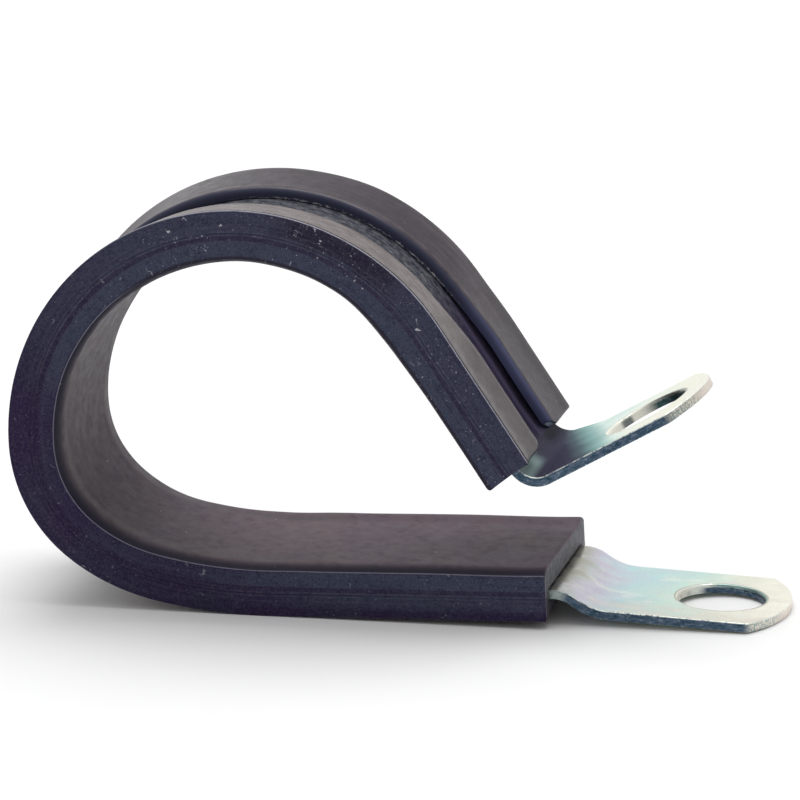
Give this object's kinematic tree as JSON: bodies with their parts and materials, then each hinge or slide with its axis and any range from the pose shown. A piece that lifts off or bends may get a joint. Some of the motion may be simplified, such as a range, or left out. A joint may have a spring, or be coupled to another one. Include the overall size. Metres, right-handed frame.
{
  "type": "p clip",
  "caption": "Open rubber-lined P clip: a folded steel band with a holed tab at each end, in a black rubber channel round its loop.",
  "frame": {"origin": "centre of the lower tab's hole, on the face that seats on a panel", "axes": "-Z out of the lower hole, into the panel, because the upper tab stands over its other end while the clip is open; +X from the loop towards the tip of the lower tab; Y along the pipe that the clip holds"},
  "size_m": [0.0582, 0.015, 0.0309],
  "materials": {
    "zinc_steel": "bright zinc plate with a faint green, lilac and yellow passivation, darker at the sheared edges",
    "liner_rubber": "satin black EPDM, slightly brown on the mould faces, with fine scuffs and dust"
  },
  "bodies": {
    "root": {"band": "zinc_steel", "liner": "liner_rubber"}
  },
  "joints": []
}
